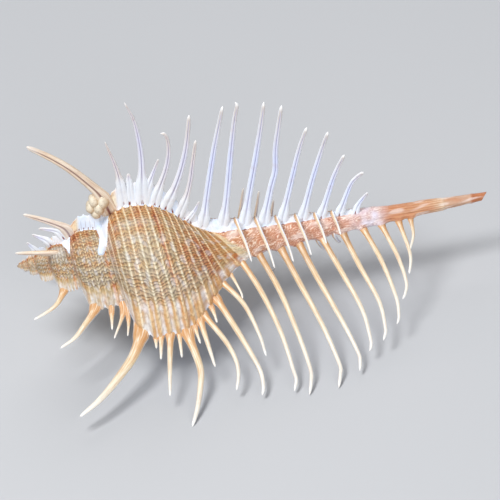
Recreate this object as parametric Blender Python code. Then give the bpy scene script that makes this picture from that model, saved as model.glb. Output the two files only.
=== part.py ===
"""Spiny murex shell lying on its spines.

Coiled whorls that grow by a fixed ratio each turn, a long straight front
canal, three rows of spines a turn and an open aperture, all one solid.
"""

import math

import bmesh
import bpy
from mathutils import Matrix, Vector

MM = 0.001

# Growth of the coil
TURN_GROWTH = 1.66
LIP_ANGLE = -25.0
ROW_STEP = 120.0
STEP_GROWTH = TURN_GROWTH ** (1 / 3)

# Outline of the last whorl at the lip: distance from the apex, radius (mm)
WHORL = (
    (26.0, 3.0), (28.0, 9.0), (29.8, 12.8), (31.5, 15.6), (34.0, 17.6),
    (37.5, 18.8), (41.0, 19.1), (45.0, 18.6), (48.5, 17.2), (52.0, 15.0),
    (55.0, 12.2), (58.0, 9.4), (61.0, 7.2), (64.0, 5.6), (68.0, 3.0),
)
# Height of the flange that carries a spine row (mm)
FLANGE = (
    (28.0, 0.0), (31.0, 5.0), (34.0, 7.2), (41.0, 7.6), (46.0, 7.0), (51.0, 5.4), (56.0, 3.4),
    (62.0, 1.4), (66.0, 0.8),
)
FLANGE_BEHIND = 26.0
FLANGE_FRONT = 3.5
SECTOR = (0.0, 3.5, 14.0, 30.0, 48.0, 66.0, 82.0, 94.0, 103.0, 110.0, 115.5)
FIRST_STATION = 0.8
LAST_STATION = 67.0
STATIONS = 42

# Front canal: distance from the apex, radius (mm)
CANAL = (
    (46.0, 6.0), (54.0, 6.2), (60.0, 5.2), (66.0, 4.3), (76.0, 3.5), (88.0, 2.8),
    (100.0, 2.3), (112.0, 1.8), (122.0, 1.4), (130.0, 1.05),
)
CANAL_START = 46.0
CANAL_RISE = 0.0935
RISE_ANGLE = 125.0

# Aperture
MOUTH_X = 44.0
MOUTH_R = 11.0
MOUTH_HALF_WIDTH = 5.2
MOUTH_STRETCH = 1.75
MOUTH_DEPTH = 95.0

# Spines of the lip row: distance from the apex, distance from the coil axis
# or canal centre, from root to tip, after the root radius (mm)
LIP_ROW = (
    (1.9, (33.5, 22), (30.5, 31.5), (27, 36.5), (20, 44.5), (15, 48.5)),
    (0.8, (37, 23), (37, 29.5)),
    (0.9, (38.5, 23), (38, 33)),
    (1.1, (41, 22), (40, 44.5)),
    (0.8, (43.5, 22), (43.5, 33)),
    (1.5, (46, 21), (47.5, 32.5), (48.5, 42), (45, 54.5)),
    (1.0, (48.5, 19), (50.5, 27.5), (52.5, 37.5)),
    (1.2, (50.5, 17), (55, 28.5), (59, 39), (57, 46)),
    (1.2, (54.5, 12), (59, 27), (65, 42), (64, 49)),
    (0.7, (53, 14), (54, 24)),
    (1.1, (57, 8), (61.5, 19.5), (65, 29.5), (66.5, 37)),
    (0.7, (58.5, 6), (61.5, 18)),
    (1.2, (61.5, 2), (66.5, 16.5), (73.5, 40), (72.5, 49.5)),
    (1.2, (66.5, 2), (71.5, 17), (78, 42), (76.5, 51.5)),
    (1.2, (72.5, 2), (77.5, 17), (86, 42), (84.5, 51)),
    (1.2, (78, 1), (82.5, 16.5), (91.5, 40), (91, 47)),
    (1.1, (84, 1), (89, 15.5), (95, 35), (94, 41.5)),
    (1.1, (90, 1), (94, 14.5), (99, 32), (98, 39)),
    (1.0, (95.5, 1), (100, 14), (103.5, 29), (102, 34.5)),
    (1.0, (100.5, 1), (104.5, 13.5), (106, 21), (104, 27)),
    (0.9, (105.5, 1), (107.5, 12), (106.5, 20)),
    (0.8, (109, 0.5), (109.5, 8), (108, 12.5)),
)
# Spines of the row before it, which stands upright
UPPER_ROW = (
    (1.7, (26.5, 17), (22.5, 24), (17.5, 29.5), (12.5, 33.5), (7, 37)),
    (1.0, (31, 20), (30, 29.5), (28, 36.5)),
    (1.3, (37, 19), (37.5, 30), (37, 38), (34.5, 48)),
    (0.9, (39.5, 19), (42, 29.5)),
    (1.2, (41.5, 16), (44.5, 28), (45.5, 34), (43.5, 37.5)),
    (1.2, (44.5, 14), (48.5, 27), (51.5, 41.5)),
    (1.0, (48.5, 10), (51, 26.5), (52.5, 33.5)),
    (0.7, (50, 8), (52, 14.5)),
    (1.2, (53, 4), (54.5, 17), (57, 28.5), (60.5, 42.5)),
    (1.2, (58.5, 2), (61.5, 27.5), (64.5, 43)),
    (1.2, (64.5, 2), (68.5, 26), (72, 41.5)),
    (1.2, (69.5, 2), (73.5, 20), (74.5, 30), (76.5, 39.5)),
    (1.1, (75, 1), (80, 25), (83, 31.5)),
    (1.1, (80.5, 1), (83.5, 15.5), (88.5, 29)),
    (1.0, (85.5, 1), (88.5, 12.5), (92.5, 21)),
    (0.9, (90.5, 1), (93.5, 11), (97.5, 14.5)),
    (0.7, (94.5, 0.5), (98, 8)),
)
# Rows of the earlier whorl, whose front spines are grown over
EARLIER_LOWER_ROW = (
    (1.3, (21.5, 12), (18, 20.5), (15, 24.5), (11, 27)),
    (0.7, (25.5, 13), (25.5, 22.5)),
    (0.7, (28.5, 14), (26, 25.5)),
)
EARLIER_UPPER_ROW = (
    (0.9, (15.5, 8), (10.5, 13), (4, 16)),
    (0.7, (13.5, 7), (7.5, 11)),
    (0.6, (9.5, 5), (5.5, 9.5)),
    (0.5, (6.0, 3), (4, 7)),
)
EARLIEST_ROW = ((0.8, (13, 7), (11, 13), (8.5, 15), (4.5, 17.5)),)
# Short second spines on the canal: root distance from the apex, length (mm)
SHORT_SPINES = ((61.5, 17), (67.5, 19), (73.0, 18), (78.5, 15), (84.0, 12), (89.5, 9))
SHORT_TURN = 110.0
SHORT_RADIUS = 0.8
TIP_RADIUS = 0.3
RUNGS = 6

# How the settled shell lies: turns about the long axis and across it (degrees)
ROLL = -1.1
PITCH = 6.2


def clear_scene():
    for item in list(bpy.data.objects):
        bpy.data.objects.remove(item, do_unlink=True)
    for group in list(bpy.data.collections):
        bpy.data.collections.remove(group)


def new_collection(name):
    group = bpy.data.collections.new(name)
    bpy.context.scene.collection.children.link(group)
    return group


def read_curve(points, x):
    if x <= points[0][0]:
        return points[0][1]
    for (x0, y0), (x1, y1) in zip(points, points[1:]):
        if x <= x1:
            return y0 + (y1 - y0) * (x - x0) / (x1 - x0)
    return points[-1][1]


def outward(angle):
    a = math.radians(angle)
    return Vector((0.0, -math.cos(a), math.sin(a)))


def canal_centre(x):
    return outward(RISE_ANGLE) * (CANAL_RISE * max(0.0, x - CANAL_START)) + Vector((x, 0.0, 0.0))


def flange_share(before_row):
    """How much of the flange stands at this many degrees before its row."""
    after_row = ROW_STEP - before_row
    if before_row < FLANGE_BEHIND:
        return (1.0 - before_row / FLANGE_BEHIND) ** 2
    if after_row < FLANGE_FRONT:
        return 1.0 - after_row / FLANGE_FRONT
    return 0.0


def whorl_radius(x, turn, share):
    """Outer radius at x of the whorl laid down this many turns before the lip."""
    size = TURN_GROWTH ** (-turn)
    along = x / size
    if along < WHORL[0][0] or along > WHORL[-1][0]:
        return 0.0
    return size * (read_curve(WHORL, along) + read_curve(FLANGE, along) * share)


def surface_radius(x, degrees_back):
    share = flange_share(degrees_back % ROW_STEP)
    radii = [whorl_radius(x, degrees_back / 360.0 + n, share) for n in range(7)]
    return max(max(radii), 0.12 * x, 0.25) if x < 30.0 else max(max(radii), 3.0)


def build_whorls(group):
    """Skin of all the whorls, as rings of points that grow back from the lip."""
    columns = [i * ROW_STEP + step for i in range(3) for step in SECTOR]
    columns.append(358.5)
    stations = []
    for i in range(STATIONS):
        f = i / (STATIONS - 1)
        even = FIRST_STATION + (LAST_STATION - FIRST_STATION) * f
        by_growth = FIRST_STATION * (LAST_STATION / FIRST_STATION) ** f
        stations.append(by_growth * 0.35 + even * 0.65)
    skin = bmesh.new()
    grid = []
    for degrees_back in columns:
        out = outward(LIP_ANGLE + degrees_back)
        grid.append([
            skin.verts.new((Vector((x, 0.0, 0.0)) + out * surface_radius(x, degrees_back)) * MM)
            for x in stations
        ])
    apex = skin.verts.new((0.0, 0.0, 0.0))
    for k, column in enumerate(grid):
        after = grid[(k + 1) % len(grid)]
        skin.faces.new((apex, after[0], column[0]))
        for i in range(STATIONS - 1):
            skin.faces.new((column[i], after[i], after[i + 1], column[i + 1]))
    skin.faces.new([column[-1] for column in grid])
    bmesh.ops.recalc_face_normals(skin, faces=skin.faces)
    mesh = bpy.data.meshes.new("murex_shell")
    skin.to_mesh(mesh)
    skin.free()
    shell = bpy.data.objects.new("murex_shell", mesh)
    group.objects.link(shell)
    return shell


def smooth_path(points, rungs):
    """Points of a smooth curve through the given ones."""
    ends = [points[0] * 2 - points[1], *points, points[-1] * 2 - points[-2]]
    path = []
    for i in range(rungs + 1):
        at = i / rungs * (len(points) - 1)
        n = min(int(at), len(points) - 2)
        f = at - n
        a, b, c, d = ends[n:n + 4]
        path.append(0.5 * (
            b * 2 + (c - a) * f + (a * 2 - b * 5 + c * 4 - d) * f ** 2
            + (b * 3 - a - c * 3 + d) * f ** 3
        ))
    return path


def tube(name, lines, group, sides=1):
    """Mesh object of tapered tubes: each line is a list of points and radii."""
    curve = bpy.data.curves.new(name, "CURVE")
    curve.dimensions = "3D"
    curve.bevel_depth = 1.0
    curve.bevel_resolution = sides
    curve.use_fill_caps = True
    for points, radii in lines:
        spline = curve.splines.new("POLY")
        spline.points.add(len(points) - 1)
        for slot, point, radius in zip(spline.points, points, radii):
            slot.co = (*(point * MM), 1.0)
            slot.radius = radius * MM
    wire = bpy.data.objects.new(name + "_curve", curve)
    group.objects.link(wire)
    bpy.context.view_layer.update()
    graph = bpy.context.evaluated_depsgraph_get()
    mesh = bpy.data.meshes.new_from_object(wire.evaluated_get(graph))
    welded = bmesh.new()
    welded.from_mesh(mesh)
    bmesh.ops.remove_doubles(welded, verts=welded.verts, dist=1e-6)
    bmesh.ops.recalc_face_normals(welded, faces=welded.faces)
    welded.to_mesh(mesh)
    welded.free()
    solid = bpy.data.objects.new(name, mesh)
    solid.matrix_world = wire.matrix_world
    group.objects.link(solid)
    bpy.data.objects.remove(wire, do_unlink=True)
    return solid


def hide_tool(item):
    item.hide_render = True
    item.display_type = "WIRE"


def combine(shell, tool, operation):
    step = shell.modifiers.new(tool.name, "BOOLEAN")
    step.operation = operation
    step.solver = "EXACT"
    step.use_self = True
    step.object = tool
    bpy.context.view_layer.objects.active = shell
    bpy.ops.object.modifier_apply(modifier=step.name)
    hide_tool(tool)


def spine_line(radius, points, angle, size=1.0):
    out = outward(angle)
    places = []
    for x, distance in points:
        places.append(canal_centre(x * size) + out * (distance * size))
    rungs = RUNGS if len(points) > 3 else 3 if len(points) > 2 else 2
    path = smooth_path(places, rungs)
    count = len(path) - 1
    radii = [size * (TIP_RADIUS + (radius - TIP_RADIUS) * (1 - i / count) ** 0.8) for i in range(count + 1)]
    return path, radii


def short_lines(angle, size):
    lines = []
    for x, length in SHORT_SPINES:
        root = canal_centre(x * size)
        side = outward(angle - SHORT_TURN) + Vector((0.12, 0.0, 0.0))
        path = [root, root + side * length * 0.5 * size, root + side * length * size]
        lines.append((path, [SHORT_RADIUS, SHORT_RADIUS * 0.8, TIP_RADIUS]))
    return lines


def all_spines(tools):
    """One solid for each row, from the lip backwards."""
    upper = LIP_ANGLE + ROW_STEP
    hidden = LIP_ANGLE + 2 * ROW_STEP
    rows = (
        ("lip_row", LIP_ROW, LIP_ANGLE, 1.0),
        ("upper_row", UPPER_ROW, upper, 1.0),
        ("hidden_row", UPPER_ROW, hidden, 1.0 / STEP_GROWTH),
        ("earlier_lower_row", EARLIER_LOWER_ROW, LIP_ANGLE, 1.0),
        ("earlier_upper_row", EARLIER_UPPER_ROW, upper, 1.0),
        ("earlier_hidden_row", EARLIER_LOWER_ROW, hidden, 1.0 / STEP_GROWTH ** 2),
        ("earliest_row", EARLIEST_ROW, LIP_ANGLE, 1.0),
    )
    made = []
    for name, row, angle, size in rows:
        lines = [spine_line(radius, points, angle, size) for radius, *points in row]
        made.append(tube(name, lines, tools))
    short = short_lines(LIP_ANGLE, 1.0) + short_lines(upper, 1.0)
    made.append(tube("short_spines", short, tools))
    return made


def canal_and_ridges(tools):
    places = [canal_centre(x) for x, radius in CANAL]
    made = [tube("canal", [(places, [radius for x, radius in CANAL])], tools, sides=3)]
    return made


def mouth_cutter(tools):
    """Tapered bent tube that hollows the last whorl from its mouth."""
    points = []
    radii = []
    for i in range(9):
        back = -32.0 + i * (MOUTH_DEPTH + 32.0) / 8
        size = TURN_GROWTH ** (-max(back, 0.0) / 360.0)
        depth = max(back, 0.0) / MOUTH_DEPTH
        x = MOUTH_X * size / MOUTH_STRETCH
        points.append(Vector((x, 0.0, 0.0)) + outward(LIP_ANGLE + back) * MOUTH_R * size)
        radii.append(MOUTH_HALF_WIDTH * size * (1.0 - 0.45 * depth ** 3))
    cutter = tube("mouth_cutter", [(points, radii)], tools, sides=3)
    cutter.data.transform(Matrix.Diagonal((MOUTH_STRETCH, 1.0, 1.0, 1.0)))
    return cutter


def make_material():
    paint = bpy.data.materials.new("shell_tan")
    paint.use_nodes = True
    shader = paint.node_tree.nodes["Principled BSDF"]
    shader.inputs["Base Color"].default_value = (0.62, 0.36, 0.20, 1.0)
    shader.inputs["Roughness"].default_value = 0.42
    shader.inputs["Metallic"].default_value = 0.0
    return paint


def settle(shell):
    """Turn the shell to the way it lies and stand it on the ground."""
    turn = Matrix.Rotation(math.radians(PITCH), 4, "Y") @ Matrix.Rotation(math.radians(ROLL), 4, "X")
    shell.data.transform(turn)
    spots = [vertex.co for vertex in shell.data.vertices]
    low = Vector([min(spot[i] for spot in spots) for i in range(3)])
    high = Vector([max(spot[i] for spot in spots) for i in range(3)])
    middle = (low + high) / 2
    shell.data.transform(Matrix.Translation((-middle.x, -middle.y, -low.z)))


def main():
    clear_scene()
    group = new_collection("murex_shell")
    tools = new_collection("cutters")
    shell = build_whorls(group)
    for solid in canal_and_ridges(tools):
        combine(shell, solid, "UNION")
    combine(shell, mouth_cutter(tools), "DIFFERENCE")
    for solid in all_spines(tools):
        combine(shell, solid, "UNION")
    shell.data.materials.clear()
    shell.data.materials.append(make_material())
    settle(shell)


main()
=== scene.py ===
import math

import bpy
import numpy as np
from mathutils import Matrix, Vector


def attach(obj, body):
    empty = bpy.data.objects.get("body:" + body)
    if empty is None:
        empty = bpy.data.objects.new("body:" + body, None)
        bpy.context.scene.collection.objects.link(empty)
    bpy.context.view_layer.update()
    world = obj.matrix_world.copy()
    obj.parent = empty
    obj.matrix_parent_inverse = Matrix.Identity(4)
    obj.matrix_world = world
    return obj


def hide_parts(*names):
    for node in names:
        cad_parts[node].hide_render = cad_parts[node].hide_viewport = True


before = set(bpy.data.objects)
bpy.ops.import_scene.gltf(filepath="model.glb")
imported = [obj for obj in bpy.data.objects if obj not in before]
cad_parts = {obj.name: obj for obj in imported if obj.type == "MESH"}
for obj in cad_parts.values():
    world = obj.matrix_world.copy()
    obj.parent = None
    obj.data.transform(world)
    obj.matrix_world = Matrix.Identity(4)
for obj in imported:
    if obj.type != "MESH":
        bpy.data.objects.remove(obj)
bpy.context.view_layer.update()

MM = 0.001

# ---------------------------------------------------------------- the shell's own measures (mm, degrees)
TURN_GROWTH = 1.66
LIP_ANGLE = -25.0
ROW_STEP = 120.0
STEP_SIZE = TURN_GROWTH ** (-1 / 3)
UPPER_ANGLE = LIP_ANGLE + ROW_STEP
HIDDEN_ANGLE = LIP_ANGLE + 2 * ROW_STEP

WHORL = (
    (25.2, 0.5), (26.6, 4.0), (28.0, 8.6), (29.6, 12.4), (31.5, 15.4), (34.0, 17.6), (37.5, 18.8),
    (41.0, 19.1), (45.0, 18.6), (48.5, 17.2), (52.0, 15.0), (55.0, 12.3), (58.0, 9.5),
    (61.0, 7.2), (64.0, 5.4), (68.0, 3.2),
)
LIP_FLANGE = (
    (27.5, 0.0), (30.0, 3.5), (33.0, 6.6), (36.0, 7.4), (40.0, 6.6), (45.0, 6.4), (49.0, 5.0),
    (53.0, 3.2), (56.0, 1.8), (60.0, 1.0), (66.0, 0.6),
)
UPPER_FLANGE = (
    (27.5, 0.0), (30.0, 3.5), (33.0, 6.8), (37.0, 8.2), (41.0, 8.6), (47.5, 8.2), (51.0, 7.0),
    (55.0, 6.0), (58.0, 4.9), (62.0, 3.9), (66.0, 3.0),
)
CANAL = (
    (40.0, 4.2), (48.0, 4.8), (54.0, 4.9), (60.0, 4.6), (66.0, 4.1), (72.0, 3.6), (80.0, 3.15), (88.0, 2.65),
    (95.0, 2.35), (102.0, 2.15), (110.0, 1.85), (118.0, 1.6), (124.0, 1.35), (130.0, 1.05),
)
UPPER_RIDGE = (
    (50.0, 3.6), (55.0, 3.2), (60.0, 2.5), (66.0, 2.0), (72.0, 1.7), (80.0, 1.3), (88.0, 1.0),
    (95.0, 0.7), (101.0, 0.3), (106.0, 0.0),
)
LIP_RIDGE = (
    (54.0, 1.6), (60.0, 0.9), (66.0, 0.7), (80.0, 0.5), (95.0, 0.4), (106.0, 0.3), (114.0, 0.0),
)
CANAL_START = 46.0
CANAL_RISE = 0.0935
RISE_ANGLE = 125.0

# Degrees between growth scales at the lip
SCALE_PITCH = 3.6
# A row's flange fades out over so many degrees behind it, and stands so many in front
BEHIND = 30.0
FRONT = 3.2
CORDS = (
    31.6, 34.0, 36.5, 39.0, 41.5, 43.9, 46.2, 48.4, 50.5, 52.5, 54.4, 56.2, 58.0, 59.8, 61.6, 63.4,
)

# Rows of long spines: root and tip radius, then places from root to tip as distance
# from the apex and distance from the coil axis or the canal's centre
LIP_ROW = (
    (1.75, 0.40, (34.0, 19), (33.0, 25.5), (30.5, 31.5), (27, 36.5), (23.5, 40.8), (20, 44.5), (15, 48.5)),
    (0.55, 0.20, (36.8, 20), (37, 26.5), (37, 29.5)),
    (0.75, 0.25, (38.6, 20), (38.5, 26), (38, 33)),
    (1.00, 0.28, (41.3, 20), (41, 26), (40.3, 35), (39.7, 44.5)),
    (0.70, 0.25, (43.4, 20), (43.5, 25.5), (43.7, 33)),
    (1.30, 0.34, (45.2, 19), (46, 26.5), (47.5, 32.5), (48.5, 38), (48, 43), (46.8, 49), (45, 54.5)),
    (0.60, 0.22, (47.2, 18), (48, 24.5), (49, 29.5)),
    (0.95, 0.25, (48.4, 17), (49.5, 22.5), (50.5, 27.5), (51.5, 32.5), (52.5, 37.5)),
    (0.90, 0.36, (48.6, 15), (50.5, 20.5), (55, 28.5), (57.2, 33.3), (58.5, 38), (58.5, 42), (57.7, 45.7)),
    (1.00, 0.40, (51.5, 12), (54.5, 17), (59, 27), (63.5, 38), (64.8, 42.5), (65, 46.5), (64.5, 48.7)),
    (0.60, 0.22, (51.0, 14), (53, 19.5), (54, 24)),
    (0.85, 0.30, (53.5, 8), (56, 11.5), (61.5, 19.5), (65, 29.5), (66.5, 37)),
    (0.55, 0.20, (56.5, 5), (58.5, 9), (61, 15.5), (61.5, 18)),
    (0.90, 0.38, (59.0, 1.5), (61.5, 5.5), (66.5, 16.5), (71, 30.5), (73.5, 43), (74, 46), (73.2, 49.2)),
    (0.92, 0.38, (65.3, 1), (66.7, 4.5), (71.5, 17), (75.5, 31.5), (78, 43), (78, 47), (77.2, 51.2)),
    (0.95, 0.38, (71.3, 1), (73, 4.5), (77.5, 17), (82.5, 31), (86, 43.5), (86, 46.5), (85.2, 50.7)),
    (0.95, 0.38, (76.3, 0.8), (78, 4), (82.5, 16.5), (88, 31), (91.3, 41), (91.6, 44), (91.3, 46.7)),
    (0.90, 0.36, (83.2, 0.5), (84.2, 3), (89, 15.5), (93.5, 28), (95, 37.5), (94.9, 40), (94.4, 41.2)),
    (0.88, 0.36, (89.2, 0.5), (90.2, 3), (94, 14.5), (98.3, 26.5), (99.3, 35), (98.9, 37.5), (98.4, 38.7)),
    (0.82, 0.34, (94.9, 0.4), (95.9, 3), (100, 14), (103, 26), (103.3, 31.5), (103, 33.5), (102.5, 34.5)),
    (0.78, 0.32, (100.2, 0.3), (101, 3), (104.5, 13.5), (106.2, 22), (105.6, 25.5), (104.7, 27.2)),
    (0.70, 0.30, (105.2, 0.2), (105.8, 3), (107.7, 11.5), (108, 15.8), (107.2, 19.7)),
    (0.55, 0.26, (108.6, 0.1), (109.1, 3), (109.4, 8), (108, 12.5)),
)
UPPER_ROW = (
    (1.55, 0.55, (27.6, 14), (25.5, 20), (22.5, 24), (17.5, 29.3), (12.5, 33.3), (6.8, 37)),
    (0.95, 0.12, (31.6, 15), (31, 24), (30, 29.5), (28, 36.5)),
    (0.65, 0.35, (33.6, 16), (33.5, 24), (33.5, 26)),
    (1.25, 0.14, (36.5, 15), (37, 23.5), (37.4, 30), (37.2, 36.2), (36.3, 42.6), (34.3, 48)),
    (0.85, 0.22, (37.0, 16), (39, 22.5), (42, 29.7)),
    (
        0.95, 0.34, (39.4, 14.5), (41.4, 20.5), (43.4, 25.4), (44.5, 29), (45, 32.5), (44.9, 35.6),
        (44.3, 37.2), (43.2, 37.5),
    ),
    (1.10, 0.46, (42.0, 13.0), (44.5, 18), (46.6, 22.5), (48.3, 27), (50, 33.2), (51.4, 41.8)),
    (0.85, 0.38, (45.6, 10.5), (48.2, 16), (49.8, 20.7), (51.1, 26.7), (52.5, 33.8)),
    (0.55, 0.20, (47.2, 8.5), (50, 11.5), (52, 14.8)),
    (1.08, 0.48, (51.6, 4.5), (53, 10), (54.2, 16.2), (56.8, 28.2), (58.5, 34.8), (60.6, 42.6)),
    (1.08, 0.50, (57.4, 4), (58.4, 9), (59.6, 15), (61.6, 27.5), (63.5, 38), (64.5, 42), (64.0, 43.2)),
    (1.10, 0.50, (63.4, 3.5), (64.4, 8.5), (65.6, 14), (68.5, 26), (71, 37.2), (71.8, 41.6)),
    (1.08, 0.50, (68.9, 3), (69.6, 7), (71.9, 15.6), (73.3, 20), (73.7, 25), (74.4, 29.6), (76.5, 39.6)),
    (0.98, 0.48, (73.8, 3), (74.8, 7), (77, 14.5), (80.2, 25), (82.8, 31.5)),
    (0.98, 0.46, (79.3, 2.5), (80.3, 6), (83.1, 15), (86.3, 23.7), (88.5, 29)),
    (0.95, 0.45, (84.4, 2), (85.4, 5), (88.3, 13), (90.1, 17), (92.4, 21)),
    (0.88, 0.42, (89.3, 1.5), (90.4, 4.5), (93.4, 11.3), (95.3, 13.4), (97.3, 14.6)),
    (0.65, 0.32, (93.8, 1.5), (94.8, 4.2), (96, 6), (98, 8)),
)
EARLIER_LIP_ROW = (
    (1.15, 0.26, (22.0, 11), (21, 16), (18, 20.5), (15, 24.3), (11, 27)),
    (0.60, 0.20, (25.7, 12), (25.6, 17.5), (25.4, 22.6)),
    (0.60, 0.20, (28.2, 13), (28.6, 18), (25.8, 25.4)),
    (0.45, 0.20, (29.4, 14), (30.0, 20), (29.5, 25)),
)
EARLIER_UPPER_ROW = (
    (1.15, 0.34, (16.4, 7), (14.7, 10.5), (10.7, 12.9), (3.9, 15.9)),
    (0.85, 0.20, (14.5, 7), (12.4, 9.8), (7.7, 11.1)),
    (0.85, 0.20, (11.0, 5), (9.2, 7.3), (5.7, 9.4)),
    (0.60, 0.20, (7.0, 3.5), (5.5, 5.2), (4.1, 7.0)),
)
EARLIEST_ROW = ((0.85, 0.25, (13.6, 7), (12.9, 9.5), (11, 13), (8.6, 15.1), (4.4, 17.4)),)
SHORT_SPINES = (
    (61.4, 17), (66.9, 20), (72.5, 18), (77.9, 16), (83.1, 12), (87.8, 9),
)
INNER_LIP_ANGLE = -72.0
# One small spine in front of the third whorl, at its own angle
FRONT_ANGLE = 55.0
FRONT_ROW_BACK = 720.0 + FRONT_ANGLE - LIP_ANGLE
FRONT_ROW = ((0.95, 0.28, (13.0, 5.0), (11.4, 7.3), (7.3, 8.6), (0.9, 10.0)),)
# Share of tan on the first spines of an upper row
UPPER_TANS = (0.85, 0.45, 0.3, 0.2, 0.2, 0.3, 0.2, 0.35, 0.1, 0.0)
# Lumps on the shoulder: distance from the apex, distance from the axis, radius
SHOULDER_KNOBS = (
    (23.4, 18.4, 1.8), (22.3, 16.5, 1.6), (24.6, 16.6, 2.2), (23.6, 14.8, 1.7), (25.9, 18.3, 2.0),
)
# White tongues on the seams: degrees back from the lip, distance from the apex, half the width
GLAZE = (
    (128, 25.2, 2.2), (115, 25.2, 2.0), (100, 25.2, 1.4), (85, 25.0, 1.25), (72, 24.4, 1.3), (66, 24.2, 1.0),
    (60, 24.2, 0.2),
)
EARLIER_GLAZE = ((484, 14.6, 1.5), (470, 14.8, 1.2), (450, 14.9, 0.9), (430, 14.7, 0.8), (420, 14.6, 0.2))

ROLL = -1.1
PITCH = 6.2
APEX = Vector((-64.996, 8.533, 27.103))

LOOK_ANGLE = 35.0
IMAGE_TILT = 5.0
CAMERA_DISTANCE = 1600.0
VIEW_WIDTH = 136.85

to_world = Matrix.Rotation(math.radians(PITCH), 3, "Y") @ Matrix.Rotation(math.radians(ROLL), 3, "X")


# ---------------------------------------------------------------- curves and fields
def smooth_table(points, at):
    """Value of a smooth curve through the points."""
    points = np.array(points)
    x = points[:, 0]
    y = points[:, 1]
    slope = np.gradient(y, x)
    at = np.clip(np.asarray(at, float), x[0], x[-1])
    n = np.clip(np.searchsorted(x, at) - 1, 0, len(x) - 2)
    h = x[n + 1] - x[n]
    f = (at - x[n]) / h
    return (
        y[n] * (1 + 2 * f) * (1 - f) ** 2 + slope[n] * h * f * (1 - f) ** 2
        + y[n + 1] * f * f * (3 - 2 * f) + slope[n + 1] * h * f * f * (f - 1)
    )


def step(low, high, x):
    f = np.clip((np.asarray(x, float) - low) / (high - low), 0.0, 1.0)
    return f * f * (3 - 2 * f)


def bell(x, middle, width):
    return np.exp(-(((x - middle) / width) ** 2))


def wander(a, b, seed):
    """Smooth uneven field between about -1 and 1 over two directions."""
    total = np.zeros(np.broadcast(a, b).shape)
    for i in range(5):
        turn = seed * 1.7 + i * 2.399
        grow = 1.0 + 0.37 * i
        total = total + np.sin(a * math.cos(turn) * grow + b * math.sin(turn) * grow + seed * 5.1 + i * 1.3)
    return total / 3.0


def outward(angle):
    a = np.radians(angle)
    return np.stack([np.zeros_like(a), -np.cos(a), np.sin(a)], -1)


def lift(x):
    """Where the canal's centre has risen to at x."""
    rise = CANAL_RISE * np.maximum(0.0, np.asarray(x, float) - CANAL_START)
    return rise[..., None] * outward(np.array(RISE_ANGLE))


def row_shape(angle, row, behind, front):
    """1 on the row, falling slowly on its older side and steeply on its growing side."""
    off = (angle - row + 180.0) % 360.0 - 180.0
    return np.where(off >= 0, (1 - step(0, behind, off)), (1 - step(0, front, -off)))


def canal_radius(angle, x):
    r = smooth_table(CANAL, x)
    upper = smooth_table(UPPER_RIDGE, x)
    lower = smooth_table(LIP_RIDGE, x)
    r = r + upper * row_shape(angle, UPPER_ANGLE, 46.0, 16.0)
    r = r + 0.8 * upper * row_shape(angle, HIDDEN_ANGLE, 46.0, 16.0)
    return r + lower * row_shape(angle, LIP_ANGLE, 50.0, 20.0)


def soft_max(a, b, k):
    return np.maximum(a, b) + k * np.exp(-np.abs(a - b) / k) * 0.5


# ---------------------------------------------------------------- relief of the whorls
def spine_folds(q, row, size):
    """1 where a spine of the row stands, at the lip's own scale."""
    total = np.zeros_like(q)
    for root, tip, *places in row:
        near = np.abs(q - places[1][0] / size) / (0.45 + 0.5 * root)
        total = np.maximum(total, np.exp(-near ** 1.4))
    return total


def cord_number(q):
    """Which spiral cord q stands on: a whole number on each main cord."""
    return np.where(q < CORDS[0], (q - CORDS[0]) / 1.3, np.interp(q, CORDS, np.arange(len(CORDS))))


def cords(q):
    """Main cords with a middle thread and two fine ones between each pair."""
    turn = 2 * math.pi * cord_number(q)
    main = (0.5 + 0.5 * np.cos(turn)) ** 3.5
    middle = 0.55 * (0.5 - 0.5 * np.cos(turn)) ** 7
    fine = 0.32 * (0.5 - 0.5 * np.cos(2 * turn)) ** 5
    return np.maximum(np.maximum(main, middle), fine)


def growth_lines(back, q):
    """Scales laid down by growth: they rise slowly and end in a sharp edge that bulges at the cords."""
    bulge = 0.20 * np.cos(2 * math.pi * cord_number(q)) * (1 + 0.6 * wander(back * 0.08, q * 0.9, 12.0))
    grown = (1 - TURN_GROWTH ** (-0.8 * back / 360.0)) * 360.0 / (0.8 * math.log(TURN_GROWTH))
    uneven = 1.0 * wander(grown * 0.05, q * 0.4, 3.0) + 0.30 * wander(grown * 0.4, q * 1.3, 7.0)
    f = (grown / SCALE_PITCH + bulge + uneven) % 1.0
    return (1 - f) ** 1.3 * step(0.0, 0.12, f)


def warmth(back, into, q, ribs):
    """0 pale greyish tan, 0.4 tan, 0.7 orange, 1 deep brown."""
    top = step(58.0, 104.0, into)
    total = 0.24 + 0.15 * wander(back * 0.07, q * 0.6, 4.0) + 0.13 * wander(back * 0.42, q * 2.1, 9.0)
    total = total + 0.36 * bell(q, 32.4, 2.8) * top + 0.18 * bell(q, 40.0, 3.2) * top
    total = total + 0.55 * bell(q, 45.9, 0.85) * (0.75 + 0.25 * wander(back * 0.1, q, 2.0))
    total = total + 0.16 * step(46.5, 51.0, q) + 0.30 * bell(q, 55.6, 2.2) * bell(into, 52.0, 30.0)
    return total - 0.16 * ribs


def row_number(back):
    """Which row the skin belongs to: 0, 3, 6 are the lip's rows."""
    return np.floor((back + 10.0) / ROW_STEP).astype(int)


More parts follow.
